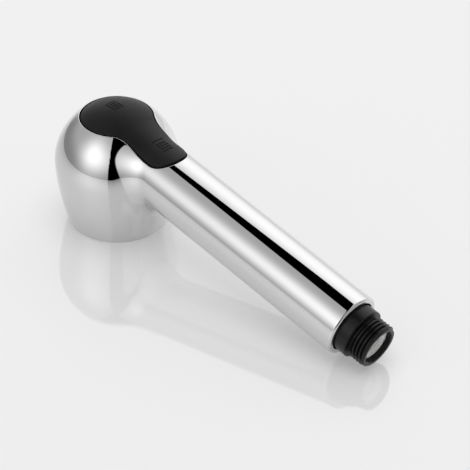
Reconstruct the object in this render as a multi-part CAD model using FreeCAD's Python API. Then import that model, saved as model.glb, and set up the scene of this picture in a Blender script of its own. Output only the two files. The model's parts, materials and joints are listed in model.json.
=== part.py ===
import FreeCAD, Part
import math
import os

os.makedirs("parts", exist_ok=True)

# Handheld sprayer head with a two-mode rocker. Millimetres, +Z up.
# Origin: centre of the spray rim, on the plane the rim lies on. +X points to the hose end.

# Outer shell: a domed head blended into a tilted cylindrical handle.
RIM_R = 23.45
HEAD_R = 29.1
HEAD_MID_Z = 32.1
HEAD_TOP_Z = 62.1
BELL_POWER = 1.75
DOME_POWER = 1.85
SHELL_WALL = 2.2
MOUTH_R = 21.2
RIM_ROUND = 0.8
HANDLE_R = 14.8
HANDLE_BORE_R = 12.2
HANDLE_LEN = 148.3
HANDLE_TILT = 11.25
END_ROUND = 1.4
BORE_ROUND = 0.35
BLEND_R = 11.0

# Height of the handle axis above the head centre, so that rim and handle end lie on one plane.
TILT_RAD = math.radians(HANDLE_TILT)
AXIS_Z = (HANDLE_LEN - END_ROUND) * math.sin(TILT_RAD)
AXIS_Z = AXIS_Z + (HANDLE_R - END_ROUND) * math.cos(TILT_RAD) + END_ROUND

# Rocker: round pad over the dome, neck, rounded tail over the handle.
PAD_R = 16.7
NECK_R = 12.5
TAIL_W = 9.8
TAIL_X = 30.8
ROCKER_GAP = 0.52
ROCKER_SKIN = 2.2
SKIRT_DEPTH = 4.4
SKIRT_WALL = 1.8
PIVOT_X = 18.0
PIVOT_Z = 50.8
REST_TILT = 1.5
PIVOT_PIN_R = 1.2
PIVOT_FIT = 0.05
PIVOT_EAR_IN = 2.8
PIVOT_EAR_OUT = 5.4
PIVOT_EAR_R = 2.0
LUG_R = 2.2
LUG_W = 2.4
LUG_ROOM = 0.4
LINK_PIN_R = 1.0
LINK_FIT = 0.05
LINK_EAR_IN = 3.2
LINK_EAR_OUT = 5.4
LINK_EAR_W = 2.7

# Diverter valve in the head.
FLANGE_R = 18.3
FLANGE_Z0 = 14.9
FLANGE_Z1 = 17.4
COLUMN_R = 12.5
COLUMN_TOP = 45.0
SOCKET_R = 8.7
SOCKET_BORE_R = 6.93
SOCKET_FLOOR = 14.0
SOCKET_END = 27.0
STEM_R = 4.0
STEM_BORE_R = 4.05
STEM_LAND_TOP = 48.3
STEM_RING_Z = [22.2, 24.8]
STEM_RING_R = 0.5
SEAT_Z = 20.0
PACKING_Z = 39.7
GLAND_R = 6.55
GLAND_HEX_R = 8.6
GLAND_TOP = 48.4

# Waterway and inlet along the handle axis, measured from the head axis.
TUBE_R = 6.9
TUBE_BORE_R = 4.6
TUBE_START = 14.1
TUBE_END = 129.9
TUBE_RING_S = [17.6, 22.2, 121.8, 126.4]
BARREL_R = 12.18
BARREL_START = 118.0
BARREL_END = 141.0
COLLAR_R = 11.75
COLLAR_END = 154.3
NECK_GROOVE_R = 9.2
THREAD_START = 155.4
INLET_END = 163.7
THREAD_R = 10.4775
THREAD_ROOT_R = 9.3155
THREAD_PITCH = 1.8143
INLET_BORE_R = 8.0
VALVE_BORE_R = 7.6
VALVE_START = 146.0
VALVE_FACE = 161.2
CHECK_SEAT = 157.0
CLIP_WIDTH = 1.2

# Spray face stack.
FACE_Z0 = 1.2
FACE_Z1 = 3.2
FACE_TOP = 9.0
FACE_WALL = 1.7
MAT_Z1 = 4.4
NOZZLE_TIP_Z = 0.5
NOZZLE_R = 0.85
NOZZLE_BORE_R = 0.45
NOZZLE_RINGS = [(17.0, 24), (13.4, 18)]
AERATOR_HOLE_R = 9.3
CHAMBER_Z1 = 14.4
SCREEN_R = 7.85
SCREEN_Z = [2.6, 4.6]
SCREEN_THICK = 0.3
SCREEN_ROWS = 11
SCREEN_PITCH = 1.25
SCREEN_HOLE = 0.4
SCREW_RING_R = 15.2
SCREW_COUNT = 3
SCREW_R = 1.25

Vector = FreeCAD.Vector
ORIGIN = Vector(0, 0, 0)
X_DIR = Vector(1, 0, 0)
Y_DIR = Vector(0, 1, 0)
Z_DIR = Vector(0, 0, 1)


def save(name, shape):
    shape.exportStep("parts/" + name + ".step")


def turned(points):
    """Solid turned about the vertical axis from an (r, z) outline."""
    outline = [Vector(r, 0, z) for r, z in points]
    wire = Part.makePolygon(outline + [outline[0]])
    return Part.Face(wire).revolve(ORIGIN, Z_DIR, 360)


def turned_along(points):
    """Solid turned about the handle axis from an (s, r) outline, in the handle's own frame."""
    outline = [Vector(s, 0, r) for s, r in points]
    wire = Part.makePolygon(outline + [outline[0]])
    return Part.Face(wire).revolve(ORIGIN, X_DIR, 360)


def on_handle(shape):
    """Carry a shape from the handle's own frame to its place on the tilted handle axis."""
    placed = shape.copy()
    placed.rotate(ORIGIN, Y_DIR, HANDLE_TILT)
    placed.translate(Vector(0, 0, AXIS_Z))
    return placed


def rod(r, s0, s1):
    return Part.makeCylinder(r, s1 - s0, Vector(s0, 0, 0), X_DIR)


def post(r, z0, z1, x=0.0, y=0.0):
    return Part.makeCylinder(r, z1 - z0, Vector(x, y, z0), Z_DIR)


def cross_pin(r, x, z, y0, y1):
    return Part.makeCylinder(r, y1 - y0, Vector(x, y0, z), Y_DIR)


def block(x0, x1, y0, y1, z0, z1):
    return Part.makeBox(x1 - x0, y1 - y0, z1 - z0, Vector(x0, y0, z0))


def oring(major, minor, at, direction):
    return Part.makeTorus(major, minor, at, direction)


def edges_where(shape, test):
    return [edge for edge in shape.Edges if test(edge)]


def circle_at(edge, centre, radius):
    """True for a full circular edge of the given radius about the given centre."""
    if abs(edge.Length - 2 * math.pi * radius) > 0.02:
        return False
    return (edge.CenterOfMass - centre).Length < 0.02


def bell_radius(z):
    return HEAD_R - (HEAD_R - RIM_R) * ((HEAD_MID_Z - z) / HEAD_MID_Z) ** BELL_POWER


def dome_point(angle):
    """Point on the dome's superellipse; 0 is the widest point and 90 degrees is the top."""
    r = HEAD_R * math.cos(angle) ** (2 / DOME_POWER)
    z = HEAD_MID_Z + (HEAD_TOP_Z - HEAD_MID_Z) * math.sin(angle) ** (2 / DOME_POWER)
    return r, z


def head_profile():
    points = [(bell_radius(z), z) for z in [0.0, 5.0, 10.0, 16.0, 22.0, 28.0]]
    points.append((HEAD_R, HEAD_MID_Z))
    points += [dome_point(math.radians(a)) for a in [10, 20, 30, 40, 50, 60, 70, 80]]
    points.append((0.0, HEAD_TOP_Z))
    return points


def inset_profile(points, depth):
    """The head profile moved inwards by the wall thickness, from the mouth up to the axis."""
    inner = []
    for i in range(1, len(points) - 1):
        dr = points[i + 1][0] - points[i - 1][0]
        dz = points[i + 1][1] - points[i - 1][1]
        size = math.hypot(dr, dz)
        inner.append((points[i][0] - depth * dz / size, points[i][1] + depth * dr / size))
    inner.append((0.0, points[-1][1] - depth))
    return inner


def turned_spline(points, z_base, r_base):
    """Solid of revolution under a smooth profile that runs from a flat base to the axis."""
    curve = Part.BSplineCurve()
    top = Vector(-1, 0, 0)
    poles = [Vector(r, 0, z) for r, z in points]
    start = poles[1] - poles[0]
    curve.interpolate(Points=poles, InitialTangent=start, FinalTangent=top * start.Length)
    base = Part.makeLine(Vector(0, 0, z_base), Vector(r_base, 0, z_base))
    side = [base, curve.toShape()]
    if (poles[0] - Vector(r_base, 0, z_base)).Length > 1e-6:
        side.insert(1, Part.makeLine(Vector(r_base, 0, z_base), poles[0]))
    side.append(Part.makeLine(poles[-1], Vector(0, 0, z_base)))
    return Part.Face(Part.Wire(side)).revolve(ORIGIN, Z_DIR, 360)


def rocker_outline(offset):
    """Plan outline of the rocker: pad arc, two neck arcs, straight sides and tail arc."""
    pad = PAD_R + offset
    neck = NECK_R - offset
    half = TAIL_W + offset
    neck_x = math.sqrt((PAD_R + NECK_R) ** 2 - (TAIL_W + NECK_R) ** 2)
    neck_y = TAIL_W + NECK_R
    touch = math.atan2(neck_y, neck_x)
    pad_end = Vector(pad * math.cos(touch), pad * math.sin(touch), 0)
    bend = (touch + math.pi / 2) / 2
    neck_mid = Vector(neck_x - neck * math.cos(bend), neck_y - neck * math.sin(bend), 0)
    neck_end = Vector(neck_x, half, 0)
    tail_in = Vector(TAIL_X, half, 0)
    flip = FreeCAD.Matrix()
    flip.A22 = -1
    edges = [
        Part.Arc(pad_end, Vector(-pad, 0, 0), flip.multiply(pad_end)).toShape(),
        Part.Arc(flip.multiply(pad_end), flip.multiply(neck_mid), flip.multiply(neck_end)).toShape(),
        Part.makeLine(flip.multiply(neck_end), flip.multiply(tail_in)),
        Part.Arc(flip.multiply(tail_in), Vector(TAIL_X + half, 0, 0), tail_in).toShape(),
        Part.makeLine(tail_in, neck_end),
        Part.Arc(neck_end, neck_mid, pad_end).toShape(),
    ]
    return Part.Face(Part.Wire(Part.__sortEdges__(edges)))


def rocker_prism(offset, z0, z1):
    face = rocker_outline(offset)
    face.translate(Vector(0, 0, z0))
    return face.extrude(Vector(0, 0, z1 - z0))


def outer_body():
    """The closed outside form of head and handle, with the blend between them."""
    head = turned_spline(head_profile(), 0.0, RIM_R)
    handle = on_handle(rod(HANDLE_R, 4.0, HANDLE_LEN))
    body = head.fuse(handle).removeSplitter()
    joint = edges_where(body, lambda e: e.BoundBox.XMin > 5 and e.BoundBox.XMax < 60 and e.Length > 40)
    return body.makeFillet(BLEND_R, joint)


def body_shell(outer):
    end = Vector(HANDLE_LEN * math.cos(TILT_RAD), 0, AXIS_Z - HANDLE_LEN * math.sin(TILT_RAD))
    rounded = edges_where(outer, lambda e: circle_at(e, end, HANDLE_R))
    shell = outer.makeFillet(END_ROUND, rounded)
    rim = edges_where(shell, lambda e: circle_at(e, ORIGIN, RIM_R))
    shell = shell.makeFillet(RIM_ROUND, rim)
    hollow = turned_spline(inset_profile(head_profile(), SHELL_WALL), 1.0, MOUTH_R)
    bore = on_handle(rod(HANDLE_BORE_R, 0.0, HANDLE_LEN + 5))
    groove = on_handle(rod(HANDLE_BORE_R + 0.6, BARREL_END, BARREL_END + CLIP_WIDTH + 0.05))
    opening = rocker_prism(ROCKER_GAP, 38.0, 75.0)
    shell = shell.cut(hollow.fuse(post(MOUTH_R, -1.0, 6.0)))
    shell = shell.cut(bore.fuse(groove))
    shell = shell.cut(opening)
    inner = edges_where(shell, lambda e: circle_at(e, end, HANDLE_BORE_R))
    return shell.makeFillet(BORE_ROUND, inner)


def rocker_button(outer):
    blank = outer.copy()
    blank.rotate(Vector(PIVOT_X, 0, PIVOT_Z), Y_DIR, -REST_TILT)
    below = blank.copy()
    below.translate(Vector(0, 0, -SKIRT_DEPTH))
    under = blank.copy()
    under.translate(Vector(0, 0, -ROCKER_SKIN))
    cap = rocker_prism(0.0, 40.0, 70.0).common(blank)
    space = under.common(rocker_prism(-SKIRT_WALL, 40.0, 70.0))
    button = cap.cut(below).cut(space)
    for side in (-1, 1):
        y0, y1 = sorted((side * PIVOT_EAR_IN, side * PIVOT_EAR_OUT))
        ear = block(PIVOT_X - PIVOT_EAR_R, PIVOT_X + PIVOT_EAR_R, y0, y1, PIVOT_Z, 62.0)
        ear = ear.fuse(cross_pin(PIVOT_EAR_R, PIVOT_X, PIVOT_Z, y0, y1))
        ear = ear.common(blank)
        button = button.fuse(ear)
        y0, y1 = sorted((side * LINK_EAR_IN, side * LINK_EAR_OUT))
        ear = block(-LINK_EAR_W, LINK_EAR_W, y0, y1, PIVOT_Z - 2.0, 64.0)
        ear = ear.common(blank)
        button = button.fuse(ear)
    pivot = cross_pin(PIVOT_PIN_R + PIVOT_FIT, PIVOT_X, PIVOT_Z, -8, 8)
    pivot = pivot.fuse(cross_pin(LUG_R + LUG_ROOM, PIVOT_X, PIVOT_Z, -PIVOT_EAR_IN, PIVOT_EAR_IN))
    slot_h = LINK_PIN_R + LINK_FIT
    slot = block(-0.4, 0.4, -8, 8, PIVOT_Z - slot_h, PIVOT_Z + slot_h)
    slot = slot.fuse(cross_pin(slot_h, -0.4, PIVOT_Z, -8, 8))
    slot = slot.fuse(cross_pin(slot_h, 0.4, PIVOT_Z, -8, 8))
    return button.cut(pivot).cut(slot).removeSplitter()


def screw_spots():
    spots = []
    for i in range(SCREW_COUNT):
        angle = math.radians(60 + 360 * i / SCREW_COUNT)
        spots.append((SCREW_RING_R * math.cos(angle), SCREW_RING_R * math.sin(angle)))
    return spots


def valve_body():
    body = post(FLANGE_R, FLANGE_Z0, FLANGE_Z1).fuse(post(COLUMN_R, FLANGE_Z0, COLUMN_TOP))
    body = body.fuse(on_handle(rod(SOCKET_R, 9.0, SOCKET_END)))
    lug = block(PIVOT_X - LUG_R, PIVOT_X + LUG_R, -LUG_W, LUG_W, 42.0, PIVOT_Z)
    lug = lug.fuse(cross_pin(LUG_R, PIVOT_X, PIVOT_Z, -LUG_W, LUG_W))
    body = body.fuse(lug)
    body = body.cut(post(STEM_BORE_R, SEAT_Z, COLUMN_TOP + 1))
    body = body.cut(post(3.0, FLANGE_Z0 - 1, SEAT_Z + 1))
    body = body.cut(post(GLAND_R, PACKING_Z, COLUMN_TOP + 1))
    body = body.cut(on_handle(rod(SOCKET_BORE_R, SOCKET_FLOOR, SOCKET_END + 1)))
    feed = Vector(13.5, 0, AXIS_Z - 3.4)
    reach = Vector(0, 0, 33.0) - feed
    body = body.cut(Part.makeCylinder(3.2, reach.Length, feed, reach))
    for i in range(3):
        angle = math.radians(120 * i)
        x = 10.0 * math.cos(angle)
        y = 10.0 * math.sin(angle)
        body = body.cut(post(1.5, FLANGE_Z0 - 1, 25.0, x, y))
        body = body.cut(Part.makeCylinder(1.5, 10.0, Vector(0, 0, 25.0), Vector(x, y, 0)))
    for x, y in screw_spots():
        body = body.cut(post(SCREW_R + 0.1, FLANGE_Z0 - 1, FLANGE_Z1 + 1, x, y))
    body = body.cut(cross_pin(PIVOT_PIN_R + 0.02, PIVOT_X, PIVOT_Z, -3, 3))
    return body.removeSplitter()


def gland_nut():
    corners = []
    for i in range(7):
        angle = math.radians(60 * i)
        corners.append(Vector(GLAND_HEX_R * math.cos(angle), GLAND_HEX_R * math.sin(angle), COLUMN_TOP))
    head = Part.Face(Part.makePolygon(corners)).extrude(Vector(0, 0, GLAND_TOP - COLUMN_TOP))
    nut = head.fuse(post(GLAND_R - 0.03, PACKING_Z + 1.8, COLUMN_TOP))
    return nut.cut(post(STEM_R + 0.3, 30, 60)).removeSplitter()


def diverter_stem():
    stem = turned([
        (0, SEAT_Z + 0.2), (STEM_R - 0.4, SEAT_Z + 0.2), (STEM_R, SEAT_Z + 0.6), (STEM_R, 27.4),
        (2.6, 28.8), (2.6, 36.6), (STEM_R, 38.0), (STEM_R, STEM_LAND_TOP), (0, STEM_LAND_TOP),
    ])
    stem = stem.fuse(block(-2.4, 2.4, -2.9, 2.9, STEM_LAND_TOP, PIVOT_Z + 2.0))
    for z in STEM_RING_Z:
        groove = post(STEM_R + 1, z - 0.6, z + 0.6).cut(post(STEM_R - 1.02, z - 0.6, z + 0.6))
        stem = stem.cut(groove)
    return stem.cut(cross_pin(LINK_PIN_R + 0.02, 0, PIVOT_Z, -4, 4)).removeSplitter()


def waterway_tube():
    tube = rod(TUBE_R, TUBE_START, TUBE_END).cut(rod(TUBE_BORE_R, TUBE_START - 1, TUBE_END + 1))
    for s in TUBE_RING_S:
        tube = tube.cut(rod(TUBE_R + 1, s - 0.65, s + 0.65).cut(rod(TUBE_R - 1.1, s - 1, s + 1)))
    return on_handle(tube)


def thread_groove():
    """Right-hand helical cutter for the hose thread, run out past both ends."""
    depth = THREAD_R - THREAD_ROOT_R
    start = THREAD_START - THREAD_PITCH
    length = INLET_END - THREAD_START + 2 * THREAD_PITCH
    helix = Part.makeHelix(THREAD_PITCH, length, THREAD_ROOT_R)
    half_root = 0.15 * THREAD_PITCH
    half_top = 0.52 * THREAD_PITCH
    over = THREAD_R + 0.12
    profile = Part.makePolygon([
        Vector(THREAD_ROOT_R, 0, -half_root), Vector(over, 0, -half_top),
        Vector(over, 0, half_top), Vector(THREAD_ROOT_R, 0, half_root),
        Vector(THREAD_ROOT_R, 0, -half_root),
    ])
    cutter = Part.Wire(helix).makePipeShell([profile], True, True)
    cutter.rotate(ORIGIN, Y_DIR, 90)
    cutter.translate(Vector(start, 0, 0))
    return Part.Solid(cutter) if cutter.ShapeType == "Shell" else cutter


def threaded_nose():
    """Nose of the connector: run-out groove, male thread and chamfered ends."""
    nose = rod(THREAD_R, COLLAR_END - 1, INLET_END).cut(thread_groove())
    form = turned_along([
        (COLLAR_END - 1, 0), (COLLAR_END - 1, NECK_GROOVE_R), (THREAD_START, NECK_GROOVE_R),
        (THREAD_START + 0.8, THREAD_R + 0.5), (INLET_END - 1.4, THREAD_R + 0.5),
        (INLET_END, THREAD_R - 0.9), (INLET_END, 0),
    ])
    return nose.common(form)


def inlet_connector():
    body = turned_along([
        (BARREL_START, 0), (BARREL_START, BARREL_R - 0.5), (BARREL_START + 0.5, BARREL_R),
        (BARREL_END, BARREL_R), (BARREL_END, COLLAR_R), (COLLAR_END - 0.4, COLLAR_R),
        (COLLAR_END, COLLAR_R - 0.4), (COLLAR_END, 0),
    ])
    body = body.fuse(threaded_nose())
    body = body.cut(turned_along([
        (BARREL_START - 1, 0), (BARREL_START - 1, SOCKET_BORE_R), (BARREL_START + 12, SOCKET_BORE_R),
        (BARREL_START + 12, 5.4), (VALVE_START, 5.4), (VALVE_START, VALVE_BORE_R),
        (VALVE_FACE, VALVE_BORE_R), (VALVE_FACE, INLET_BORE_R), (INLET_END - 0.4, INLET_BORE_R),
        (INLET_END + 1, INLET_BORE_R + 1.4), (INLET_END + 1, 0),
    ]))
    ring_room = rod(BARREL_R + 1, 126.3, 127.7).cut(rod(BARREL_R - 1.28, 126, 128))
    return on_handle(body.cut(ring_room).removeSplitter())


def retaining_clip():
    s1 = BARREL_END + CLIP_WIDTH
    ring = rod(HANDLE_BORE_R + 0.55, BARREL_END + 0.02, s1).cut(rod(COLLAR_R + 0.1, BARREL_END - 1, s1 + 1))
    gap = block(BARREL_END - 1, s1 + 1, -5, 5, -16, 0)
    return on_handle(ring.cut(gap))


def check_housing():
    outer_r = VALVE_BORE_R - 0.02
    shape = turned_along([
        (VALVE_START, 6.4), (VALVE_START, outer_r), (VALVE_FACE, outer_r), (VALVE_FACE, 6.3),
        (VALVE_FACE - 1.3, 5.0), (CHECK_SEAT, 5.0), (CHECK_SEAT, 6.4),
    ])
    ring_room = rod(9, CHECK_SEAT + 0.8, CHECK_SEAT + 1.9).cut(rod(outer_r - 1.0, 150, 165))
    return on_handle(shape.cut(ring_room))


def check_guide():
    guide = rod(6.38, VALVE_START, VALVE_START + 1.6).cut(rod(5.4, VALVE_START - 1, VALVE_START + 3))
    hub = rod(2.2, VALVE_START, VALVE_START + 3.2)
    for i in range(3):
        arm = block(VALVE_START, VALVE_START + 1.6, -0.6, 0.6, 0, 5.6)
        arm.rotate(ORIGIN, X_DIR, 120 * i)
        hub = hub.fuse(arm)
    guide = guide.fuse(hub).cut(rod(1.27, VALVE_START - 1, VALVE_START + 5))
    return on_handle(guide.removeSplitter())


def check_poppet():
    disc = CHECK_SEAT - 0.4
    return on_handle(turned_along([
        (VALVE_START + 0.4, 0), (VALVE_START + 0.4, 1.2), (disc - 1.6, 1.2), (disc - 1.6, 5.9),
        (disc, 5.9), (disc, 4.6), (disc + 1.6, 4.5), (disc + 3.6, 2.6), (disc + 4.0, 0),
    ]))


def check_spring():
    length = 6.6
    radius = 3.1
    wire_r = 0.3
    helix = Part.makeHelix(1.25, length - 2 * wire_r, radius)
    section = Part.Wire(Part.makeCircle(wire_r, Vector(radius, 0, 0), Y_DIR))
    coil = Part.Wire(helix).makePipeShell([section], True, True)
    coil.rotate(ORIGIN, Y_DIR, 90)
    coil.translate(Vector(VALVE_START + 1.65 + wire_r, 0, 0))
    return on_handle(coil)


def nozzle_spots():
    spots = []
    for ring_r, count in NOZZLE_RINGS:
        for i in range(count):
            angle = 2 * math.pi * (i + 0.5) / count
            spots.append((ring_r * math.cos(angle), ring_r * math.sin(angle)))
    return spots


def spray_face():
    r = MOUTH_R - 0.02
    face = turned([
        (AERATOR_HOLE_R, FACE_Z0), (r - 0.5, FACE_Z0), (r, FACE_Z0 + 0.5), (r, FACE_TOP),
        (r - FACE_WALL, FACE_TOP), (r - FACE_WALL, FACE_Z1), (AERATOR_HOLE_R, FACE_Z1),
    ])
    holes = [post(NOZZLE_R + 0.12, 0, FACE_Z1 + 1, x, y) for x, y in nozzle_spots()]
    return face.cut(Part.makeCompound(holes))


def nozzle_mat():
    mat = post(MOUTH_R - FACE_WALL - 0.1, FACE_Z1, MAT_Z1).cut(post(AERATOR_HOLE_R + 0.9, 0, 9))
    tips = [post(NOZZLE_R, NOZZLE_TIP_Z, FACE_Z1 + 0.2, x, y) for x, y in nozzle_spots()]
    bores = [post(NOZZLE_BORE_R, 0, MAT_Z1 + 1, x, y) for x, y in nozzle_spots()]
    return mat.fuse(tips).cut(Part.makeCompound(bores)).removeSplitter()


def spray_chamber():
    r = MOUTH_R - FACE_WALL - 0.05
    chamber = turned([
        (9.25, MAT_Z1), (11.2, MAT_Z1), (11.2, 12.0), (r - 1.4, 12.0), (r - 1.4, MAT_Z1), (r, MAT_Z1),
        (r, CHAMBER_Z1), (5.0, CHAMBER_Z1), (5.0, 12.6), (9.25, 12.6),
    ])
    for i in range(6):
        angle = math.radians(60 * i)
        x = 14.4 * math.cos(angle)
        y = 14.4 * math.sin(angle)
        chamber = chamber.cut(post(1.5, 11, CHAMBER_Z1 + 1, x, y))
    for x, y in screw_spots():
        chamber = chamber.fuse(post(2.5, 6.6, 12.5, x, y))
        chamber = chamber.cut(post(SCREW_R + 0.02, 7.6, CHAMBER_Z1 + 1, x, y))
    return chamber.removeSplitter()


def chamber_seals():
    rings = []
    for r0, r1 in [(6.2, 8.0), (FLANGE_R - 1.2, FLANGE_R - 0.1)]:
        rings.append(post(r1, CHAMBER_Z1, FLANGE_Z0).cut(post(r0, CHAMBER_Z1 - 1, FLANGE_Z0 + 1)))
    return Part.makeCompound(rings)


def body_screws():
    screws = []
    for x, y in screw_spots():
        screw = post(2.3, FLANGE_Z1, FLANGE_Z1 + 1.6, x, y).fuse(post(SCREW_R, 8.0, FLANGE_Z1, x, y))
        for turn in (0, 90):
            slot = block(-1.4, 1.4, -0.3, 0.3, FLANGE_Z1 + 0.8, FLANGE_Z1 + 3)
            slot.rotate(ORIGIN, Z_DIR, turn)
            slot.translate(Vector(x, y, 0))
            screw = screw.cut(slot)
        screws.append(screw.removeSplitter())
    return Part.makeCompound(screws)


def aerator_housing():
    housing = turned([
        (7.4, FACE_Z0), (9.1, FACE_Z0), (9.1, 3.6), (9.2, 3.6), (9.2, 11.2), (7.9, 11.2), (7.9, 2.6),
        (7.4, 2.6),
    ])
    for i in range(12):
        notch = block(8.7, 10, -0.35, 0.35, FACE_Z0 - 1, FACE_Z0 + 0.9)
        notch.rotate(ORIGIN, Z_DIR, 30 * i)
        housing = housing.cut(notch)
    return housing


def aerator_insert():
    insert = turned([
        (0, 7.0), (7.85, 7.0), (7.85, 11.2), (6.9, 11.2), (6.9, 8.4), (0, 8.4),
    ])
    for i in range(8):
        angle = math.radians(45 * i)
        insert = insert.cut(post(0.9, 6, 9, 4.6 * math.cos(angle), 4.6 * math.sin(angle)))
    return insert


def aerator_screens():
    """Two square-mesh discs; the openings stop one row short of the solid edge."""
    screens = []
    reach = SCREEN_ROWS // 2
    for z in SCREEN_Z:
        disc = post(SCREEN_R, z, z + SCREEN_THICK)
        holes = []
        for i in range(-reach, reach + 1):
            for j in range(-reach, reach + 1):
                if math.hypot(i, j) < reach + 0.2:
                    x = i * SCREEN_PITCH
                    y = j * SCREEN_PITCH
                    hole = block(-SCREEN_HOLE, SCREEN_HOLE, -SCREEN_HOLE, SCREEN_HOLE, z - 1, z + 1)
                    hole.translate(Vector(x, y, 0))
                    holes.append(hole)
        screens.append(disc.cut(Part.makeCompound(holes)))
    return Part.makeCompound(screens)


def aerator_washer():
    return post(9.1, 11.25, 12.55).cut(post(5.2, 11, 13))


outer = outer_body()
save("body_shell", body_shell(outer))
save("rocker_button", rocker_button(outer))
save("rocker_pin", cross_pin(PIVOT_PIN_R, PIVOT_X, PIVOT_Z, -PIVOT_EAR_OUT, PIVOT_EAR_OUT))
save("valve_body", valve_body())
save("gland_nut", gland_nut())
save("gland_packing", post(GLAND_R - 0.03, PACKING_Z, PACKING_Z + 1.78).cut(post(STEM_R + 0.3, 30, 60)))
save("diverter_stem", diverter_stem())
stem_rings = [oring(STEM_R - 0.48, STEM_RING_R, Vector(0, 0, z), Z_DIR) for z in STEM_RING_Z]
save("stem_orings", Part.makeCompound(stem_rings))
save("link_pin", cross_pin(LINK_PIN_R, 0, PIVOT_Z, -5.2, 5.2))
save("waterway_tube", waterway_tube())
tube_rings = [oring(TUBE_R - 0.53, 0.55, Vector(s, 0, 0), X_DIR) for s in TUBE_RING_S]
save("tube_orings", on_handle(Part.makeCompound(tube_rings)))
save("inlet_connector", inlet_connector())
save("connector_oring", on_handle(oring(BARREL_R - 0.64, 0.62, Vector(127, 0, 0), X_DIR)))
save("retaining_clip", retaining_clip())
save("check_housing", check_housing())
save("check_oring", on_handle(oring(VALVE_BORE_R - 0.52, 0.48, Vector(CHECK_SEAT + 1.35, 0, 0), X_DIR)))
save("check_guide", check_guide())
save("check_poppet", check_poppet())
seal = rod(5.85, CHECK_SEAT - 0.38, CHECK_SEAT - 0.02).cut(rod(4.65, CHECK_SEAT - 1, CHECK_SEAT + 1))
save("check_seal", on_handle(seal))
save("check_spring", check_spring())
save("spray_face", spray_face())
save("nozzle_mat", nozzle_mat())
save("spray_chamber", spray_chamber())
save("chamber_seals", chamber_seals())
save("body_screws", body_screws())
save("aerator_housing", aerator_housing())
save("aerator_insert", aerator_insert())
save("aerator_screens", aerator_screens())
save("aerator_washer", aerator_washer())
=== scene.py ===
import json
import math

import bpy
import numpy as np
from mathutils import Matrix, Vector
from mathutils.geometry import delaunay_2d_cdt


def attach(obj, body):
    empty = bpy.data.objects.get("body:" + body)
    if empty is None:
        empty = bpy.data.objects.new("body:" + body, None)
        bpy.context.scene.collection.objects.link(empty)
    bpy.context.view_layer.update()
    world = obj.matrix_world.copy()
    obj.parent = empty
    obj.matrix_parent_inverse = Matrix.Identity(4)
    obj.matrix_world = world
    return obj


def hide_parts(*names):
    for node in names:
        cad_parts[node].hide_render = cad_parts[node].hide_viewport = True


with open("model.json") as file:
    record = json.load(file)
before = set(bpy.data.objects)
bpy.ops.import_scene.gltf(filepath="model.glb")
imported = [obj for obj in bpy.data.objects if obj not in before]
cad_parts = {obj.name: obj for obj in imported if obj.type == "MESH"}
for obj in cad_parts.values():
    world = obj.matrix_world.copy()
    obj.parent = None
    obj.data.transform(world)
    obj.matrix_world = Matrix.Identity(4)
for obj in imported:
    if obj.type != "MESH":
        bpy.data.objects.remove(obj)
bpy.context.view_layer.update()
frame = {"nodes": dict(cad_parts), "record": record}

# Lengths in this file are millimetres until a mesh is made; Blender works in metres.
MM = 0.001

# Outer form of the shell. The joint of head and handle is a softer blend than the CAD fillet.
RIM_R = 23.45
HEAD_R = 29.1
HEAD_MID_Z = 32.1
HEAD_TOP_Z = 62.1
BELL_POWER = 1.75
DOME_POWER = 1.85
MOUTH_R = 21.2
MOUTH_TOP = 6.0
RIM_ROUND = 0.8
MOUTH_ROUND = 0.15
HEAD_WALL = 2.2
HANDLE_R = 14.8
HANDLE_BORE_R = 12.2
HANDLE_LEN = 148.3
END_ROUND = 1.4
BORE_ROUND = 0.35
BLEND_R = 11.0
BLEND_SHALLOW_R = 60.0
BLEND_RISE = 4.0
BLEND_FADE = 2.0
TILT = math.radians(11.25)
AXIS_Z = ((HANDLE_LEN - END_ROUND) * math.sin(TILT)
          + (HANDLE_R - END_ROUND) * math.cos(TILT) + END_ROUND)
AXIS_START = np.array([0.0, 0.0, AXIS_Z])
AXIS = np.array([math.cos(TILT), 0.0, -math.sin(TILT)])
AXIS_UP = np.array([math.sin(TILT), 0.0, math.cos(TILT)])
SIDE = np.array([0.0, 1.0, 0.0])

# Rocker outline and its rest position.
PAD_R = 16.7
NECK_R = 12.5
TAIL_W = 9.8
TAIL_X = 30.8
ROCKER_GAP = 0.52
ROCKER_EDGE = 0.35
ROCKER_SKIN = 2.2
SKIRT_DEPTH = 4.4
SKIRT_WALL = 1.8
PIVOT = np.array([18.0, 0.0, 50.8])
REST_TILT = math.radians(1.5)
OPENING_EDGE = 0.45

# Sections of the shell: level over the rim, turning about a point under the head, square to the handle.
TURN = np.array([38.6, 0.0, 11.6])
AROUND = 192
RIM_SECTIONS = 13
TURN_SECTIONS = 112
HANDLE_SECTIONS = 58
SECTION_REACH = 110.0
SECTION_SAMPLES = 1101
SECTION_START = 2.0

# Inner wall of the shell: straight down beside the rocker opening, and thicker in the handle.
OPENING_LOW_Z = 40.0
FAR_OUTSIDE = 50.0
STRAIGHT_END = 9.0
STRAIGHT_FADE = 5.0
STEEPEST = 0.45
HANDLE_WALL_S = 40.0
HANDLE_WALL_FADE = 10.0
HANDLE_WALL_X = 30.0

# Search limits for the surface, and how near to a cut a mesh point is moved onto it.
CAST_HALVINGS = 28
TOP_SEARCH = (34.0, 70.0)
TOP_HALVINGS = 36
OUTLINE_STEPS = 6
SHELL_SNAP = 0.12
ROCKER_SNAP = 0.04

# Plan grid of the rocker, its underside and its two symbols.
PLAN_PITCH = 0.22
PLAN_MARGIN = 1.0
FOOT_EDGE = 0.3
CAP_MARGIN = 0.6
CAP_PITCH = 1.6
SYMBOL_DEPTH = 0.42
SYMBOL_SLOPE = 0.16
SLOPE_STEP = 0.05

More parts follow.
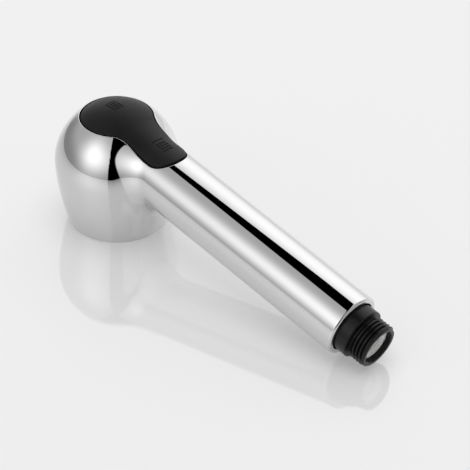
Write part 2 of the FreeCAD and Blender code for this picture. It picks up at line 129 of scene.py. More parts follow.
# Strokes of the symbols in plan: start x and y, end x and y, half width. Spray is a bar with four strokes
# and stream is a bar with a grid of drops.
SPRAY = [(-3.3, -4.0, -3.3, 1.6, 0.22)]
SPRAY += [(-2.2, -3.4 + 1.45 * k, 3.0, -3.4 + 1.45 * k, 0.3) for k in range(4)]
STREAM = [(25.4, -2.3, 25.4, 4.1, 0.22)]
STREAM += [(27.5 + 1.65 * j, -1.5 + 1.55 * k, 27.5 + 1.65 * j + 0.35, -1.5 + 1.55 * k, 0.42)
           for k in range(4) for j in range(4)]


# ---------------------------------------------------------------- form

def head_distance(p):
    """First-order distance to the head and its unit gradient."""
    x, y, z = p[..., 0], p[..., 1], p[..., 2]
    r = np.hypot(x, y) + 1e-9
    q = DOME_POWER
    u = np.clip((z - HEAD_MID_Z) / (HEAD_TOP_Z - HEAD_MID_Z), 0, None)
    s = np.maximum((r / HEAD_R) ** q + u ** q, 1e-9)
    slope = s ** (1 / q - 1)
    top_r = slope * (r / HEAD_R) ** (q - 1) / HEAD_R
    top_z = slope * u ** (q - 1) / (HEAD_TOP_Z - HEAD_MID_Z)
    top_size = np.hypot(top_r, top_z)
    top = (s ** (1 / q) - 1) / top_size
    t = np.clip((HEAD_MID_Z - z) / HEAD_MID_Z, 0, None)
    drop = HEAD_R - RIM_R
    low_z = -drop * BELL_POWER * t ** (BELL_POWER - 1) / HEAD_MID_Z
    low_size = np.hypot(1, low_z)
    low = (r - (HEAD_R - drop * t ** BELL_POWER)) / low_size
    upper = z >= HEAD_MID_Z
    d = np.where(upper, top, low)
    nr = np.where(upper, top_r / top_size, 1 / low_size)
    nz = np.where(upper, top_z / top_size, low_z / low_size)
    return d, np.stack([nr * x / r, nr * y / r, nz], -1)


def handle_distance(p):
    """Distance to the handle and its unit gradient."""
    q = p - AXIS_START
    s = q @ AXIS
    radial = q - AXIS * np.clip(s, 0, None)[..., None]
    size = np.linalg.norm(radial, axis=-1) + 1e-9
    return size - HANDLE_R, radial / size[..., None]


def form(p):
    """Signed distance of the blended outer form. The corner is rounded like a rolled ball, but with curvature
    that fades in at its edges, and with a larger radius where the two surfaces meet at a shallow angle."""
    da, na = head_distance(p)
    db, nb = handle_distance(p)
    c = np.clip((na * nb).sum(-1), -0.999, 0.999)
    radius = BLEND_R + (BLEND_SHALLOW_R - BLEND_R) * np.clip(c, 0, 1) ** BLEND_RISE
    a = radius - da
    b = radius - db
    u = (a - c * b) / (1 - c * c)
    v = (b - c * a) / (1 - c * c)
    inside = (u > 0) & (v > 0)
    u = np.maximum(u, 0)
    v = np.maximum(v, 0)
    t = v / (u + v + 1e-9)
    fade = (1 - c * c) * ((v * (1 - t) ** BLEND_FADE) ** 2 + (u * t ** BLEND_FADE) ** 2)
    ball = np.sqrt(np.maximum(u * u + v * v + 2 * c * u * v - fade, 0))
    return np.where(inside, radius - ball, np.minimum(da, db))


def form_normal(p, step=0.02):
    """Unit normal of the blended form, from central differences."""
    grad = []
    for axis in np.eye(3):
        grad.append(form(p + step * axis) - form(p - step * axis))
    grad = np.stack(grad, -1)
    return grad / (np.linalg.norm(grad, axis=-1, keepdims=True) + 1e-12)


def cast(origin, direction, reach=75.0, steps=90):
    """Distance from points inside the form to its surface."""
    near = np.zeros(direction.shape[:-1])
    far = np.full(direction.shape[:-1], reach)
    found = np.zeros(near.shape, bool)
    for i in range(1, steps + 1):
        t = np.full(near.shape, reach * i / steps)
        out = form(origin + direction * t[..., None]) > 0
        far = np.where(out & ~found, t, far)
        near = np.where(~out & ~found, t, near)
        found |= out
    for _ in range(CAST_HALVINGS):
        mid = (near + far) / 2
        out = form(origin + direction * mid[..., None]) > 0
        far = np.where(out, mid, far)
        near = np.where(out, near, mid)
    return near


def untilt(p):
    """Carry points of the rocker, tilted at rest, back to the form it is cut from."""
    q = p - PIVOT
    x = q[..., 0] * math.cos(REST_TILT) + q[..., 2] * math.sin(REST_TILT)
    z = -q[..., 0] * math.sin(REST_TILT) + q[..., 2] * math.cos(REST_TILT)
    return np.stack([x, q[..., 1], z], -1) + PIVOT


def tilt_vector(v):
    """Turn directions by the rocker's tilt at rest."""
    x = v[..., 0] * math.cos(REST_TILT) - v[..., 2] * math.sin(REST_TILT)
    z = v[..., 0] * math.sin(REST_TILT) + v[..., 2] * math.cos(REST_TILT)
    return np.stack([x, v[..., 1], z], -1)


def height(xy, tilted):
    """Height of the shell, or of the tilted rocker form, over plan points."""
    low = np.full(len(xy), TOP_SEARCH[0])
    high = np.full(len(xy), TOP_SEARCH[1])
    for _ in range(TOP_HALVINGS):
        mid = (low + high) / 2
        p = np.column_stack([xy, mid])
        out = form(untilt(p) if tilted else p) > 0
        high = np.where(out, mid, high)
        low = np.where(out, low, mid)
    return low


# ---------------------------------------------------------------- rocker plan

def plan_distance(xy):
    """Signed distance in plan to the rocker outline, negative inside."""
    x = xy[..., 0]
    y = np.abs(xy[..., 1])
    neck_y = TAIL_W + NECK_R
    neck_x = math.sqrt((PAD_R + NECK_R) ** 2 - neck_y ** 2)
    pad = np.hypot(x, y) - PAD_R
    along = np.clip(x, neck_x, TAIL_X)
    tail = np.hypot(x - along, y) - TAIL_W
    neck = NECK_R - np.hypot(x - neck_x, y - neck_y)
    in_neck = (x < neck_x) & (x * neck_y - y * neck_x > 0) & (y < neck_y)
    return np.where(in_neck, neck, np.where(x < neck_x, pad, tail))


def plan_gradient(xy, step=0.02):
    """Unit direction in plan away from the rocker outline."""
    dx = plan_distance(xy + [step, 0]) - plan_distance(xy - [step, 0])
    dy = plan_distance(xy + [0, step]) - plan_distance(xy - [0, step])
    g = np.stack([dx, dy], -1)
    return g / (np.linalg.norm(g, axis=-1, keepdims=True) + 1e-12)


def to_offset(xy, offset):
    """Move plan points onto the line at a distance from the outline."""
    for _ in range(OUTLINE_STEPS):
        xy = xy + plan_gradient(xy) * (offset - plan_distance(xy))[..., None]
    return xy


# ---------------------------------------------------------------- mesh tools

def clip(points, quads, value, project, snap):
    """Cut a quad sheet along value = 0 and keep the positive side: its points, faces and the loop of the cut.
    Points nearer to the cut than snap are moved onto it by project."""
    points = [tuple(p) for p in points]
    value = value.copy()
    close = np.abs(value) < snap
    if close.any():
        moved = project(np.array([points[i] for i in np.nonzero(close)[0]]))
        for i, p in zip(np.nonzero(close)[0], moved):
            points[i] = tuple(p)
        value[close] = 0.0
    whole = (value[quads] >= 0).all(1) & (value[quads] > 0).any(1)
    faces = [list(q) for q in quads[whole]]
    mixed = quads[(value[quads] > 0).any(1) & (value[quads] < 0).any(1)]
    cuts = {}
    for quad in mixed:
        for k in range(4):
            a, b = sorted((quad[k], quad[(k + 1) % 4]))
            if value[a] * value[b] < 0 and (a, b) not in cuts:
                cuts[(a, b)] = len(points) + len(cuts)
    if cuts:
        guess = []
        for a, b in cuts:
            t = value[a] / (value[a] - value[b])
            guess.append(np.array(points[a]) * (1 - t) + np.array(points[b]) * t)
        points += [tuple(p) for p in project(np.array(guess))]
    value = np.concatenate([value, np.zeros(len(cuts))])
    for quad in mixed:
        face = []
        for k in range(4):
            a, b = quad[k], quad[(k + 1) % 4]
            if value[a] >= 0:
                face.append(a)
            if value[a] * value[b] < 0:
                face.append(cuts[tuple(sorted((a, b)))])
        if len(face) > 2:
            faces.append(face)
    on_cut = value == 0
    seen = {}
    for face in faces:
        for k in range(len(face)):
            a, b = face[k], face[(k + 1) % len(face)]
            if on_cut[a] and on_cut[b]:
                seen[(a, b)] = True
    step = {a: b for a, b in seen if (b, a) not in seen}
    first = next(iter(step))
    loop = [first]
    while step[loop[-1]] != first:
        loop.append(step[loop[-1]])
    used = sorted({v for face in faces for v in face})
    renumber = {v: i for i, v in enumerate(used)}
    faces = [[renumber[v] for v in face] for face in faces]
    return np.array([points[v] for v in used]), faces, [renumber[v] for v in loop]


def strip(first, second):
    """Quads between two closed rows of vertex numbers, wound to follow the faces along the first."""
    count = len(first)
    faces = []
    for i in range(count):
        j = (i + 1) % count
        faces.append([first[j], first[i], second[i], second[j]])
    return faces


class Skin:
    """Points, normals and faces of one closed mesh that grows row by row."""

    def __init__(self, points, normals, faces):
        self.points = [points]
        self.normals = [normals]
        self.faces = list(faces)
        self.total = len(points)

    def add(self, points, normals):
        """Add points and return their numbers."""
        numbers = list(range(self.total, self.total + len(points)))
        self.points.append(points)
        self.normals.append(normals)
        self.total += len(points)
        return numbers

    def add_rows(self, start, rows, end=None):
        """Join rows of (points, normals) to a row that is there, and on to an end row if there is one."""
        last = start
        for points, normals in rows:
            current = self.add(points, normals)
            self.faces.extend(strip(last, current))
            last = current
        if end is not None:
            self.faces.extend(strip(last, end))
        return last


def quarter(steps, first=1):
    """Angles of a quarter turn in equal steps."""
    return [math.radians(90 * k / steps) for k in range(first, steps + 1)]


def make_piece(name, skin, body, slot, node):
    """A smooth piece that stands for a CAD node and rides on its body."""
    points = np.vstack(skin.points) * MM
    normals = np.vstack(skin.normals)
    normals /= np.linalg.norm(normals, axis=1, keepdims=True)
    mesh = bpy.data.meshes.new(name)
    mesh.from_pydata([tuple(p) for p in points], [], [tuple(int(v) for v in f) for f in skin.faces])
    mesh.update()
    mesh.shade_smooth()
    mesh.normals_split_custom_set_from_vertices([tuple(n) for n in normals])
    mesh.materials.append(MATERIALS[slot])
    piece = bpy.data.objects.new(name, mesh)
    bpy.context.scene.collection.objects.link(piece)
    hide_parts(node)
    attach(piece, body)


# ---------------------------------------------------------------- shell

def section_rows():
    """Centre and far direction of every section of the shell, from the rim to the handle end."""
    rows = []
    for z in np.linspace(RIM_ROUND, TURN[2], RIM_SECTIONS)[:-1]:
        rows.append((np.array([0.0, 0.0, z]), np.array([-1.0, 0.0, 0.0])))
    for angle in np.radians(np.linspace(180.0, 90.0 - math.degrees(TILT), TURN_SECTIONS)):
        far = np.array([math.cos(angle), 0.0, math.sin(angle)])
        t = np.linspace(0, SECTION_REACH, SECTION_SAMPLES)
        inside = form(TURN + t[:, None] * far) < 0
        spans = t[inside & (t > SECTION_START)]
        rows.append((TURN + far * (spans.min() + spans.max()) / 2, far))
    start = (TURN - AXIS_START) @ AXIS
    for s in np.linspace(start, HANDLE_LEN - END_ROUND, HANDLE_SECTIONS)[1:]:
        rows.append((AXIS_START + AXIS * s, AXIS_UP))
    return rows


def section_sheet():
    """Points of the outer surface, section by section, and the quads between them."""
    rows = section_rows()
    angle = 2 * math.pi * np.arange(AROUND) / AROUND
    centres = np.array([c for c, _ in rows])[:, None, :]
    fars = np.array([f for _, f in rows])[:, None, :]
    directions = np.cos(angle)[None, :, None] * fars + np.sin(angle)[None, :, None] * SIDE
    sheet = centres + directions * cast(centres, directions)[..., None]
    quads = []
    for i in range(len(rows) - 1):
        for j in range(AROUND):
            k = (j + 1) % AROUND
            quads.append([i * AROUND + j, i * AROUND + k, (i + 1) * AROUND + k, (i + 1) * AROUND + j])
    return sheet.reshape(-1, 3), np.array(quads)


def inner_wall(outer, normal):
    """The inner surface, point for point under the outer one. Beside the opening it goes straight down,
    so that its plan stays in place, and at the rim it stands on the mouth of the head."""
    beside = np.clip((STRAIGHT_END - plan_distance(outer[:, :2])) / STRAIGHT_FADE, 0, 1)
    beside = (beside * (outer[:, 2] > OPENING_LOW_Z))[:, None]
    s = (outer - AXIS_START) @ AXIS
    handle_share = np.clip((s - HANDLE_WALL_S) / HANDLE_WALL_FADE, 0, 1)
    thick = HEAD_WALL + (HANDLE_R - HANDLE_BORE_R - HEAD_WALL) * handle_share
    thick = np.where(outer[:, 0] > HANDLE_WALL_X, thick, HEAD_WALL)[:, None]
    down = np.array([0.0, 0.0, 1.0]) / np.maximum(normal[:, 2:3], STEEPEST)
    inner = outer - thick * (normal * (1 - beside) + down * beside)
    r = np.hypot(outer[:, 0], outer[:, 1])
    mouth = (outer[:, 2] < MOUTH_TOP) & (r < HEAD_R + 1)
    squeeze = np.where(mouth, MOUTH_R / r, 1.0)
    inner[:, 0] = np.where(mouth, outer[:, 0] * squeeze, inner[:, 0])
    inner[:, 1] = np.where(mouth, outer[:, 1] * squeeze, inner[:, 1])
    inner[:, 2] = np.where(mouth, outer[:, 2], inner[:, 2])
    return inner


def opening_rows(edge, normal, line):
    """Round edge of the rocker opening, from the outer surface down to the gap."""
    side = np.column_stack([-plan_gradient(edge[:, :2]), np.zeros(len(edge))])
    rows = []
    for a in quarter(5):
        xy = to_offset(edge[:, :2], line - OPENING_EDGE * math.sin(a))
        z = height(xy, False) - OPENING_EDGE * (1 - math.cos(a)) / normal[:, 2]
        rows.append((np.column_stack([xy, z]), normal * math.cos(a) + side * math.sin(a)))
    return rows


def rim_rows(first_row):
    """Rim of the head: round outside edge, flat, and small round edge into the mouth."""
    spoke = first_row.copy()
    spoke[:, 2] = 0
    spoke /= np.linalg.norm(spoke, axis=1, keepdims=True)
    down = np.array([0.0, 0.0, -1.0])
    base_r = np.hypot(first_row[0, 0], first_row[0, 1])
    rows = []
    for a in quarter(6):
        r = base_r - RIM_ROUND + RIM_ROUND * math.cos(a)
        z = RIM_ROUND - RIM_ROUND * math.sin(a)
        rows.append((spoke * r + [0, 0, z], spoke * math.cos(a) + down * math.sin(a)))
    for a in quarter(3, 0):
        r = MOUTH_R + MOUTH_ROUND - MOUTH_ROUND * math.sin(a)
        z = MOUTH_ROUND - MOUTH_ROUND * math.cos(a)
        rows.append((spoke * r + [0, 0, z], -spoke * math.sin(a) + down * math.cos(a)))
    return rows


def end_rows():
    """End of the handle: fillet, flat ring, and small round edge into the bore."""
    angle = 2 * math.pi * np.arange(AROUND) / AROUND
    spoke = np.cos(angle)[:, None] * AXIS_UP + np.sin(angle)[:, None] * SIDE
    rows = []
    for a in quarter(10):
        r = HANDLE_R - END_ROUND + END_ROUND * math.cos(a)
        s = HANDLE_LEN - END_ROUND + END_ROUND * math.sin(a)
        rows.append((AXIS_START + AXIS * s + spoke * r, spoke * math.cos(a) + AXIS * math.sin(a)))
    for a in quarter(4, 0):
        r = HANDLE_BORE_R + BORE_ROUND - BORE_ROUND * math.sin(a)
        s = HANDLE_LEN - BORE_ROUND + BORE_ROUND * math.cos(a)
        rows.append((AXIS_START + AXIS * s + spoke * r, AXIS * math.cos(a) - spoke * math.sin(a)))
    return [(p[::-1], n[::-1]) for p, n in rows]


def build_shell():
    """Chrome shell: outer surface, inner wall, and the edges of its opening, rim and handle end."""
    sheet, quads = section_sheet()
    first_row = sheet[:AROUND].copy()
    last_row = sheet[-AROUND:].copy()
    line = ROCKER_GAP + OPENING_EDGE
    value = np.where(sheet[:, 2] > OPENING_LOW_Z, plan_distance(sheet[:, :2]) - line, FAR_OUTSIDE)

    def project(p):
        """Onto the outline of the opening, on the surface."""
        xy = to_offset(p[:, :2], line)
        return np.column_stack([xy, height(xy, False)])

    outer, faces, loop = clip(sheet, quads, value, project, SHELL_SNAP)
    normal = form_normal(outer)
    count = len(outer)
    inner = inner_wall(outer, normal)
    inner[loop, :2] = to_offset(outer[loop, :2], ROCKER_GAP)
    faces = faces + [[v + count for v in reversed(f)] for f in faces]
    skin = Skin(np.vstack([outer, inner]), np.vstack([normal, -normal]), faces)
    number = {tuple(np.round(p, 6)): i for i, p in enumerate(outer)}
    rim = [number[tuple(np.round(p, 6))] for p in first_row]
    end = [number[tuple(np.round(p, 6))] for p in last_row][::-1]
    skin.add_rows(loop, opening_rows(outer[loop], normal[loop], line), [v + count for v in loop])
    skin.add_rows(rim, rim_rows(first_row), [v + count for v in rim])
    skin.add_rows(end, end_rows(), [v + count for v in end])
    skin.faces = [f[::-1] for f in skin.faces]
    make_piece("shell_chrome", skin, "sprayer", "chrome", "body_shell")


# ---------------------------------------------------------------- rocker

def bar_distance(xy, x0, y0, x1, y1, half):
    """Distance in plan to a straight stroke with round ends."""
    start = np.array([x0, y0])
    run = np.array([x1 - x0, y1 - y0])
    t = np.clip(((xy - start) @ run) / max(run @ run, 1e-9), 0, 1)
    return np.linalg.norm(xy - start - t[:, None] * run, axis=1) - half


def symbol_depth(xy):
    """How far the surface is sunk by the two symbols."""
    d = np.minimum.reduce([bar_distance(xy, *stroke) for stroke in SPRAY + STREAM])
    t = np.clip(-d / SYMBOL_SLOPE + 0.5, 0, 1)
    return SYMBOL_DEPTH * t * t * (3 - 2 * t)


def rocker_top():
    """Top surface inside the round edge, with the symbols sunk in: points, normals, faces and its border."""
    xs = np.arange(-PAD_R - PLAN_MARGIN, TAIL_X + TAIL_W + PLAN_MARGIN, PLAN_PITCH)
    ys = np.arange(-PAD_R - PLAN_MARGIN, PAD_R + PLAN_MARGIN, PLAN_PITCH)
    grid = np.stack(np.meshgrid(xs, ys, indexing="ij"), -1).reshape(-1, 2)
    value = -ROCKER_EDGE - plan_distance(grid)
    wide = len(ys)
    i, j = np.meshgrid(np.arange(len(xs) - 1), np.arange(wide - 1), indexing="ij")
    corner = (i * wide + j).reshape(-1)
    quads = np.column_stack([corner, corner + wide, corner + wide + 1, corner + 1])
    quads = quads[(value[quads] > -PLAN_MARGIN).any(1)]

    def project(p):
        """Onto the inner side of the round edge, in plan."""
        return np.column_stack([to_offset(p[:, :2], -ROCKER_EDGE), np.zeros(len(p))])

    sheet = np.column_stack([grid, np.zeros(len(grid))])
    flat, faces, loop = clip(sheet, quads, value, project, ROCKER_SNAP)
    xy = flat[:, :2]
    top = np.column_stack([xy, height(xy, True)])
    normal = tilt_vector(form_normal(untilt(top)))
    top[:, 2] -= symbol_depth(xy)
    slope = np.zeros((len(xy), 3))
    slope[:, 0] = symbol_depth(xy + [SLOPE_STEP, 0]) - symbol_depth(xy + [-SLOPE_STEP, 0])
    slope[:, 1] = symbol_depth(xy + [0, SLOPE_STEP]) - symbol_depth(xy + [0, -SLOPE_STEP])
    normal = normal + slope / (2 * SLOPE_STEP) * normal[:, 2:3]
    normal /= np.linalg.norm(normal, axis=1, keepdims=True)
    return top, normal, faces, loop


def skirt_rows(border, normal):
    """Round edge of the top, the skirt outside, its foot, and the skirt inside up to the underside."""
    side = np.column_stack([plan_gradient(border[:, :2]), np.zeros(len(border))])
    down = np.array([0.0, 0.0, -1.0])
    rows = []
    for a in quarter(6):
        xy = to_offset(border[:, :2], -ROCKER_EDGE + ROCKER_EDGE * math.sin(a))
        z = height(xy, True) - ROCKER_EDGE * (1 - math.cos(a)) / normal[:, 2]
        rows.append((np.column_stack([xy, z]), normal * math.cos(a) + side * math.sin(a)))
    edge = rows[-1][0]
    foot = edge + down * (SKIRT_DEPTH - ROCKER_EDGE)
    inset = to_offset(edge[:, :2], -SKIRT_WALL)
    rows.append((foot - down * FOOT_EDGE, side))
    rows.append((foot, side + down))
    rows.append((np.column_stack([inset, foot[:, 2]]), down - side))
    rows.append((np.column_stack([inset, height(inset, True) - ROCKER_SKIN]), down - side))
    return rows


def cap_underside(skin, border):
    """Close the underside with triangles over a coarse plan grid inside its border row."""
    ring = skin.points[-1][:, :2]
    xs = np.arange(-PAD_R, TAIL_X + TAIL_W, CAP_PITCH)
    ys = np.arange(-PAD_R, PAD_R, CAP_PITCH)
    grid = np.stack(np.meshgrid(xs, ys, indexing="ij"), -1).reshape(-1, 2)
    grid = grid[plan_distance(grid) < -SKIRT_WALL - CAP_MARGIN]
    flat = [Vector(tuple(p)) for p in ring] + [Vector(tuple(p)) for p in grid]
    edges = [(k, (k + 1) % len(ring)) for k in range(len(ring))]
    made, _, triangles, origin, _, _ = delaunay_2d_cdt(flat, edges, [], 1, 1e-5)
    number = {}
    extra = []
    for k, source in enumerate(origin):
        on_ring = [v for v in source if v < len(ring)]
        if on_ring:
            number[k] = border[on_ring[0]]
        else:
            number[k] = skin.total + len(extra)
            extra.append(tuple(made[k]))
    extra = np.array(extra)
    under = np.column_stack([extra, height(extra, True) - ROCKER_SKIN])
    skin.add(under, np.tile([0.0, 0.0, -1.0], (len(extra), 1)))
    skin.faces.extend([number[v] for v in reversed(face)] for face in triangles)


def build_rocker():
    """Black rocker: top with symbols, skirt and hollow underside."""
    top, normal, faces, loop = rocker_top()
    skin = Skin(top, normal, faces)
    border = top[loop].copy()
    foot = skin.add_rows(loop, skirt_rows(border, normal[loop]))
    cap_underside(skin, foot)
    make_piece("rocker_cover", skin, "rocker", "rocker_black", "rocker_button")


# ---------------------------------------------------------------- materials

NOISE_LOW = 0.3
NOISE_HIGH = 0.7
MOTTLE_SHARE = 0.12
GRAIN_DEPTH = 0.00002
GRAIN_DETAIL = 2.0


def new_material(name):
    """An empty node material with a Principled shader: the material, its tree and the shader."""
    material = bpy.data.materials.new(name)
    material.use_nodes = True
    tree = material.node_tree
    tree.nodes.clear()
    out = tree.nodes.new("ShaderNodeOutputMaterial")
    shader = tree.nodes.new("ShaderNodeBsdfPrincipled")
    tree.links.new(shader.outputs["BSDF"], out.inputs["Surface"])
    return material, tree, shader


def noise(tree, scale, detail=3.0, rough=0.5):
    """Noise texture fixed to the object."""
    place = tree.nodes.new("ShaderNodeTexCoord")
    node = tree.nodes.new("ShaderNodeTexNoise")
    node.inputs["Scale"].default_value = scale
    node.inputs["Detail"].default_value = detail
    node.inputs["Roughness"].default_value = rough
    tree.links.new(place.outputs["Object"], node.inputs["Vector"])
    return node


def ramp(tree, source, low, high):
    """Spread the middle of a noise over a range of values."""
    node = tree.nodes.new("ShaderNodeMapRange")
    node.inputs["From Min"].default_value = NOISE_LOW
    node.inputs["From Max"].default_value = NOISE_HIGH
    node.inputs["To Min"].default_value = low
    node.inputs["To Max"].default_value = high
    tree.links.new(source, node.inputs["Value"])
    return node.outputs["Result"]


def surface(name, dark, light, rough, grain, metal=0.0, bump=0.0, specular=0.5, coat=0.0, coat_rough=0.05):
    """A material whose colour and roughness vary a little, with a fine grain bump."""
    material, tree, shader = new_material(name)
    mottle = noise(tree, grain * MOTTLE_SHARE)
    mix = tree.nodes.new("ShaderNodeMix")
    mix.data_type = "RGBA"
    mix.inputs[6].default_value = (*dark, 1)
    mix.inputs[7].default_value = (*light, 1)
    tree.links.new(mottle.outputs["Fac"], mix.inputs[0])
    tree.links.new(mix.outputs[2], shader.inputs["Base Color"])
    tree.links.new(ramp(tree, mottle.outputs["Fac"], rough[0], rough[1]), shader.inputs["Roughness"])
    shader.inputs["Metallic"].default_value = metal
    shader.inputs["Specular IOR Level"].default_value = specular
    shader.inputs["Coat Weight"].default_value = coat
    shader.inputs["Coat Roughness"].default_value = coat_rough
    if bump:
        fine = noise(tree, grain, GRAIN_DETAIL)
        node = tree.nodes.new("ShaderNodeBump")
        node.inputs["Strength"].default_value = bump
        node.inputs["Distance"].default_value = GRAIN_DEPTH
        tree.links.new(fine.outputs["Fac"], node.inputs["Height"])
        tree.links.new(node.outputs["Normal"], shader.inputs["Normal"])
    return material


def grey(v, warm=0.0):
    """A grey, turned a little to red if warm."""
    return (v * (1 + warm), v, v * (1 - warm))


# Finish of every slot in the record: dark and light grey, warmth, roughness range, and the rest by name.
FINISHES = {
    "chrome": (0.7, 0.73, 0.0, (0.012, 0.03), dict(metal=1.0, grain=300)),
    "rocker_black": (0.006, 0.009, 0.0, (0.42, 0.5), dict(grain=5200, bump=0.4, specular=0.2)),
    "connector_black": (0.004, 0.007, 0.0, (0.24, 0.32), dict(grain=3000, bump=0.2, specular=0.26)),
    "steel": (0.5, 0.62, 0.0, (0.22, 0.34), dict(metal=1.0, grain=2600, bump=0.2)),
    "inner_plastic": (0.62, 0.7, 0.02, (0.4, 0.5), dict(grain=2600, bump=0.3)),
    "white_plastic": (0.86, 0.92, 0.01, (0.25, 0.35), dict(grain=2200, bump=0.2)),
    "seal_rubber": (0.01, 0.02, 0.0, (0.55, 0.7), dict(grain=3600, bump=0.4, specular=0.35)),
    "face_plastic": (0.02, 0.03, 0.0, (0.35, 0.45), dict(grain=3600, bump=0.4)),
    "nozzle_rubber": (0.09, 0.12, 0.0, (0.5, 0.62), dict(grain=4200, bump=0.4, specular=0.35)),
    "aerator_plastic": (0.3, 0.36, 0.0, (0.25, 0.35), dict(grain=2600, bump=0.2)),
}
MATERIALS = {name: surface(name, grey(dark, warm), grey(light, warm), rough, **rest)
             for name, (dark, light, warm, rough, rest) in FINISHES.items()}


def dress_cad_nodes():
    """Give every CAD node the finish of its slot in the record."""
    slots = {part["node"]: part["material_slot"] for part in frame["record"]["subparts"]}
    for name, piece in frame["nodes"].items():
        piece.data.materials.clear()
        piece.data.materials.append(MATERIALS[slots[name]])


# ---------------------------------------------------------------- studio

# Angles are in degrees: azimuth from +X towards +Y, elevation above the floor. Brightness is linear.
BASE_LOW = 0.36
BASE_RISE = 0.27
BASE_RISE_EL = 25.0

# The two soft lights and the dark flag. A bell has a centre and a width on each side; a window has two edges
# and the softness of each.
KEY_BRIGHT = 1.32
KEY_AZ_BELL = (-95.0, 26.0, 33.0)
KEY_EL_BELL = (28.0, 30.0, 22.5)
FILL_BRIGHT = 1.08
FILL_AZ_WINDOW = (62.0, 162.0, 14.0, 14.0)
FILL_EL_BELL = (40.0, 60.0, 33.0)
FLAG_AZ_WINDOW = (-60.5, -35.0, 0.8, 2.5)
FLAG_EL_WINDOW = (-5.0, 66.0, 1.0, 1.0)

# The dark gap overhead, as a band in the plane above: its direction across, its two edges, and how the far
# edge opens behind a line.
GAP_ACROSS = (0.5, 0.86)
GAP_NEAR_EDGE = (-0.255, -0.235)
GAP_FAR_EDGE = (0.245, 0.275)
GAP_OPENS_AT = 0.215
GAP_OPENS_BY = 3.2
GAP_EL = (50.0, 56.0)
LOWEST_UP = 0.05

FLOOR_CENTRE = (0.07, 0.0)
FLOOR_R = 0.46
FLOOR_SIDES = 160
FLOOR_DROP = 0.0001
FLOOR_GLOW = 0.33
FLOOR_COAT_IOR = 1.8

LAMP_PLACE = (0.1, -0.1, 1.6)
LAMP_TARGET = (0.07, 0.0, 0.0)
LAMP_SIZE = 1.4
LAMP_POWER = 16.0

CAMERA_PLACE = (0.553956, -0.528291, 0.553834)
CAMERA_TURN = math.radians(132.171)
CAMERA_DOWN = math.radians(36.479)
CAMERA_ROLL = math.radians(-1.731)
CAMERA_LENS = 152.02
CAMERA_SENSOR = 36.0


class Maths:
    """Small helper for arithmetic nodes in one tree."""

    def __init__(self, tree):
        self.tree = tree

    def op(self, kind, *values):
        """One arithmetic node; each value is a number or another node's output."""
        node = self.tree.nodes.new("ShaderNodeMath")
        node.operation = kind
        for socket, value in zip(node.inputs, values):
            if isinstance(value, (int, float)):
                socket.default_value = value
            else:
                self.tree.links.new(value, socket)
        return node.outputs[0]

    def step(self, value, low, high):
        """0 below low, 1 above high, smooth between."""
        node = self.tree.nodes.new("ShaderNodeMapRange")
        node.interpolation_type = "SMOOTHSTEP"
        node.inputs["From Min"].default_value = low
        node.inputs["From Max"].default_value = high
        self.tree.links.new(value, node.inputs["Value"])
        return node.outputs["Result"]

    def window(self, value, low, high, soft_low, soft_high):
        """1 between two edges and 0 outside, each edge with its own softness."""
        rise = self.step(value, low - soft_low, low + soft_low)
        fall = self.op("SUBTRACT", 1.0, self.step(value, high - soft_high, high + soft_high))
        return self.op("MULTIPLY", rise, fall)

    def bell(self, value, centre, low_width, high_width):
        """Gaussian with a different width on each side of its centre."""
        off = self.op("SUBTRACT", value, centre)
        below = self.op("DIVIDE", self.op("MINIMUM", off, 0.0), low_width)
        above = self.op("DIVIDE", self.op("MAXIMUM", off, 0.0), high_width)
        t = self.op("ADD", below, above)
        return self.op("EXPONENT", self.op("MULTIPLY", self.op("MULTIPLY", t, t), -1.0))


def build_studio():
    """Soft studio surround: two large soft lights, a dark gap overhead and a dark flag between them."""
    world = bpy.data.worlds.new("studio")
    bpy.context.scene.world = world
    world.use_nodes = True
    tree = world.node_tree
    tree.nodes.clear()
    m = Maths(tree)
    place = tree.nodes.new("ShaderNodeTexCoord")
    split = tree.nodes.new("ShaderNodeSeparateXYZ")
    tree.links.new(place.outputs["Generated"], split.inputs[0])
    x, y, z = split.outputs
    az = m.op("MULTIPLY", m.op("ARCTAN2", y, x), 180 / math.pi)
    el = m.op("MULTIPLY", m.op("ARCSINE", z), 180 / math.pi)
    base = m.op("ADD", BASE_LOW, m.op("MULTIPLY", m.step(el, 0.0, BASE_RISE_EL), BASE_RISE))
    key = m.op("MULTIPLY", m.bell(az, *KEY_AZ_BELL), m.bell(el, *KEY_EL_BELL))
    key = m.op("MULTIPLY", key, KEY_BRIGHT)
    fill = m.op("MULTIPLY", m.window(az, *FILL_AZ_WINDOW), m.bell(el, *FILL_EL_BELL))
    fill = m.op("MULTIPLY", fill, FILL_BRIGHT)
    flag = m.op("MULTIPLY", m.window(az, *FLAG_AZ_WINDOW), m.window(el, *FLAG_EL_WINDOW))
    up = m.op("MAXIMUM", z, LOWEST_UP)
    across = m.op("ADD", m.op("MULTIPLY", x, GAP_ACROSS[0]), m.op("MULTIPLY", y, GAP_ACROSS[1]))
    across = m.op("DIVIDE", across, up)
    behind = m.op("MINIMUM", m.op("ADD", m.op("DIVIDE", x, up), GAP_OPENS_AT), 0.0)
    far_across = m.op("SUBTRACT", across, m.op("MULTIPLY", behind, GAP_OPENS_BY))
    near_side = m.step(across, *GAP_NEAR_EDGE)
    far_side = m.op("SUBTRACT", 1.0, m.step(far_across, *GAP_FAR_EDGE))
    gap = m.op("MULTIPLY", m.op("MULTIPLY", near_side, far_side), m.step(el, *GAP_EL))
    light = m.op("ADD", m.op("ADD", base, key), fill)
    light = m.op("MULTIPLY", light, m.op("SUBTRACT", 1.0, flag))
    light = m.op("MULTIPLY", light, m.op("SUBTRACT", 1.0, gap))
    shine = tree.nodes.new("ShaderNodeBackground")
    out = tree.nodes.new("ShaderNodeOutputWorld")
    tree.links.new(light, shine.inputs["Strength"])
    tree.links.new(shine.outputs[0], out.inputs["Surface"])


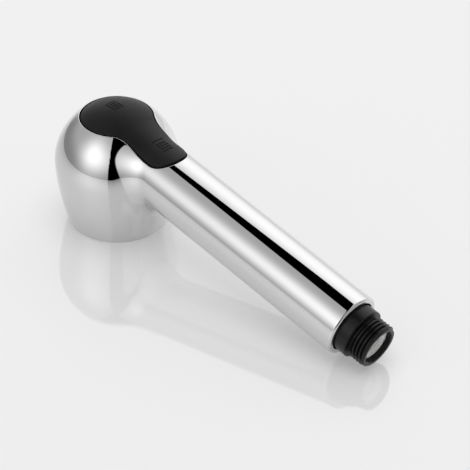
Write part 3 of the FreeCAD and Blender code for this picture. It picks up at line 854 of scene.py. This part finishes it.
def build_floor():
    """Pale glossy table top, lit a little from below, a disc that stands just under the object."""
    points = [(*FLOOR_CENTRE, 0.0)]
    for k in range(FLOOR_SIDES):
        a = 2 * math.pi * k / FLOOR_SIDES
        points.append((FLOOR_CENTRE[0] + FLOOR_R * math.cos(a), FLOOR_CENTRE[1] + FLOOR_R * math.sin(a), 0.0))
    faces = [(0, k + 1, (k + 1) % FLOOR_SIDES + 1) for k in range(FLOOR_SIDES)]
    mesh = bpy.data.meshes.new("floor")
    mesh.from_pydata(points, [], faces)
    top = surface("table_top", grey(0.38), grey(0.4), (0.5, 0.55), grain=60, specular=0.2, coat=1.0)
    shader = top.node_tree.nodes["Principled BSDF"]
    shader.inputs["Emission Color"].default_value = (1.0, 1.0, 1.0, 1.0)
    shader.inputs["Emission Strength"].default_value = FLOOR_GLOW
    shader.inputs["Coat IOR"].default_value = FLOOR_COAT_IOR
    mesh.materials.append(top)
    floor = bpy.data.objects.new("floor", mesh)
    floor.location.z = -FLOOR_DROP
    bpy.context.scene.collection.objects.link(floor)


def build_lamp():
    """Large soft light overhead that lights the floor and leaves no reflection."""
    data = bpy.data.lights.new("overhead_fill", "AREA")
    data.shape = "DISK"
    data.size = LAMP_SIZE
    data.energy = LAMP_POWER
    lamp = bpy.data.objects.new("overhead_fill", data)
    lamp.location = LAMP_PLACE
    lamp.rotation_euler = (Vector(LAMP_TARGET) - Vector(LAMP_PLACE)).to_track_quat("-Z", "Y").to_euler()
    lamp.visible_glossy = False
    bpy.context.scene.collection.objects.link(lamp)


def build_camera():
    """Camera from its place and three angles: turn, tilt down and roll."""
    forward = Vector((math.cos(CAMERA_DOWN) * math.cos(CAMERA_TURN),
                      math.cos(CAMERA_DOWN) * math.sin(CAMERA_TURN), -math.sin(CAMERA_DOWN)))
    right = Vector((math.sin(CAMERA_TURN), -math.cos(CAMERA_TURN), 0))
    down = forward.cross(right)
    x_axis = right * math.cos(CAMERA_ROLL) + down * math.sin(CAMERA_ROLL)
    y_axis = right * math.sin(CAMERA_ROLL) - down * math.cos(CAMERA_ROLL)
    data = bpy.data.cameras.new("camera")
    data.lens = CAMERA_LENS
    data.sensor_width = CAMERA_SENSOR
    camera = bpy.data.objects.new("camera", data)
    turn = Matrix((x_axis, y_axis, -forward)).transposed().to_4x4()
    camera.matrix_world = Matrix.Translation(CAMERA_PLACE) @ turn
    bpy.context.scene.collection.objects.link(camera)
    bpy.context.scene.camera = camera


# ---------------------------------------------------------------- build

dress_cad_nodes()
build_shell()
build_rocker()
build_studio()
build_floor()
build_lamp()
build_camera()
bpy.context.scene.view_settings.view_transform = "Standard"
